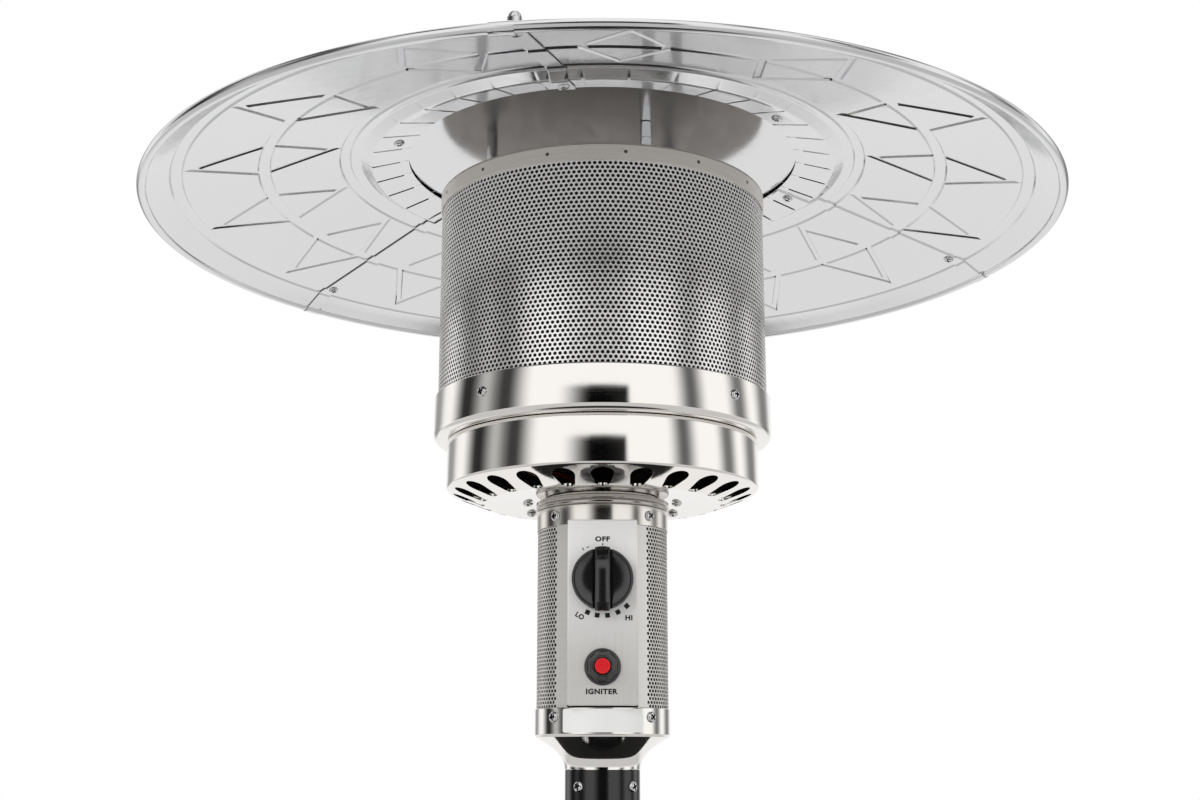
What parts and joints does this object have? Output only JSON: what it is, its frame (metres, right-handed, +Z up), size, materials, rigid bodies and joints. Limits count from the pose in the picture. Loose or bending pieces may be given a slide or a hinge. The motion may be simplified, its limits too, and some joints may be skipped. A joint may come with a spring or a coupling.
{
  "type": "gas patio heater",
  "caption": "Free-standing gas patio heater: round sheet reflector hood over a perforated emitter head, control housing with knob and igniter, black post, tank housing and wheeled base",
  "frame": {"origin": "on the floor under the post's axis, at the middle of the feet", "axes": "+Z up along the post, -Y out of the control panel, +X to the right as one faces the panel"},
  "size_m": [0.8128, 0.8128, 2.2092],
  "materials": {
    "bright_sheet": "polished",
    "steel_fasteners": "bright zinc",
    "steel_spacers": "satin",
    "emitter_steel": "satin",
    "polished_steel": "polished",
    "housing_steel": "satin",
    "panel_steel": "brushed",
    "heat_steel": "heat stained",
    "brass": "satin",
    "copper": "satin",
    "ceramic": "glazed",
    "lead_rubber": "matte",
    "label": "gloss",
    "black_plastic": "satin",
    "red_plastic": "gloss",
    "spring_steel": "bare",
    "black_paint": "satin powder coat",
    "foot_rubber": "matte",
    "wheel_plastic": "satin",
    "cylinder_paint": "gloss enamel",
    "handwheel_plastic": "satin",
    "regulator_metal": "cast",
    "hose_rubber": "matte"
  },
  "bodies": {
    "root": {"reflector_panel_left": "bright_sheet", "reflector_panel_right": "bright_sheet", "reflector_panel_back": "bright_sheet", "reflector_disc": "bright_sheet", "reflector_screws": "steel_fasteners", "reflector_nuts": "steel_fasteners", "reflector_spacers": "steel_spacers", "reflector_studs": "steel_fasteners", "wing_nuts": "steel_fasteners", "emitter_lid": "emitter_steel", "emitter_top_band": "emitter_steel", "emitter_screen": "emitter_steel", "head_ring": "polished_steel", "burner_pan": "polished_steel", "head_screws": "steel_fasteners", "burner": "heat_steel", "burner_plate": "heat_steel", "main_gas_pipe": "brass", "pilot_burner": "heat_steel", "thermocouple": "copper", "igniter_electrode": "ceramic", "igniter_lead": "lead_rubber", "neck_collar": "polished_steel", "housing_shell": "housing_steel", "housing_top_band": "polished_steel", "housing_cup": "polished_steel", "housing_screws": "steel_fasteners", "control_panel": "panel_steel", "label_plate": "label", "gas_valve": "brass", "knob_spring": "spring_steel", "igniter_bezel": "black_plastic", "igniter_piezo": "black_plastic", "igniter_spring": "spring_steel", "tilt_switch": "black_plastic", "post": "black_paint", "post_screws": "steel_fasteners", "post_flange": "black_paint", "support_bracket_left": "black_paint", "support_bracket_right": "black_paint", "support_bracket_back": "black_paint", "frame_bolts": "steel_fasteners", "base_plate": "black_paint", "base_feet": "foot_rubber", "axle_bracket": "black_paint", "wheel_axle": "steel_spacers", "gas_cylinder": "cylinder_paint", "cylinder_valve": "brass", "regulator": "regulator_metal", "gas_hose": "hose_rubber"},
    "knob_push": {"knob_washer": "spring_steel"},
    "knob": {"control_knob": "black_plastic", "valve_stem": "brass"},
    "igniter_button": {"igniter_button": "red_plastic"},
    "tank_housing": {"tank_housing": "black_paint", "tank_housing_top": "black_paint", "housing_bush": "black_plastic"},
    "wheel_left": {"wheel_left": "wheel_plastic"},
    "wheel_right": {"wheel_right": "wheel_plastic"},
    "cylinder_handwheel": {"cylinder_handwheel": "handwheel_plastic"}
  },
  "joints": [
    {"name": "knob_push", "type": "slide", "parent": "root", "child": "knob_push", "axis": [0, 1, 0], "range_m": [0, 0.003], "stiffness_N_per_m": 1500, "springref_m": -0.001, "deforming": ["knob_spring"]},
    {"name": "knob_turn", "type": "hinge", "parent": "knob_push", "child": "knob", "pos_m": [0, 0, 1.7954], "axis": [0, -1, 0], "range_deg": [0, 222]},
    {"name": "igniter_press", "type": "slide", "parent": "root", "child": "igniter_button", "axis": [0, 1, 0], "range_m": [0, 0.0045], "stiffness_N_per_m": 2000, "springref_m": -0.001, "deforming": ["igniter_spring"]},
    {"name": "tank_housing_lift", "type": "slide", "parent": "root", "child": "tank_housing", "axis": [0, 0, 1], "range_m": [0, 0.5]},
    {"name": "wheel_left_spin", "type": "hinge", "parent": "root", "child": "wheel_left", "pos_m": [0, 0.268, 0.053], "axis": [1, 0, 0], "continuous": true},
    {"name": "wheel_right_spin", "type": "hinge", "parent": "root", "child": "wheel_right", "pos_m": [0, 0.268, 0.053], "axis": [1, 0, 0], "continuous": true},
    {"name": "cylinder_handwheel_turn", "type": "hinge", "parent": "root", "child": "cylinder_handwheel", "pos_m": [0, 0, 0.45], "axis": [0, 0, 1], "range_deg": [0, 540]}
  ]
}
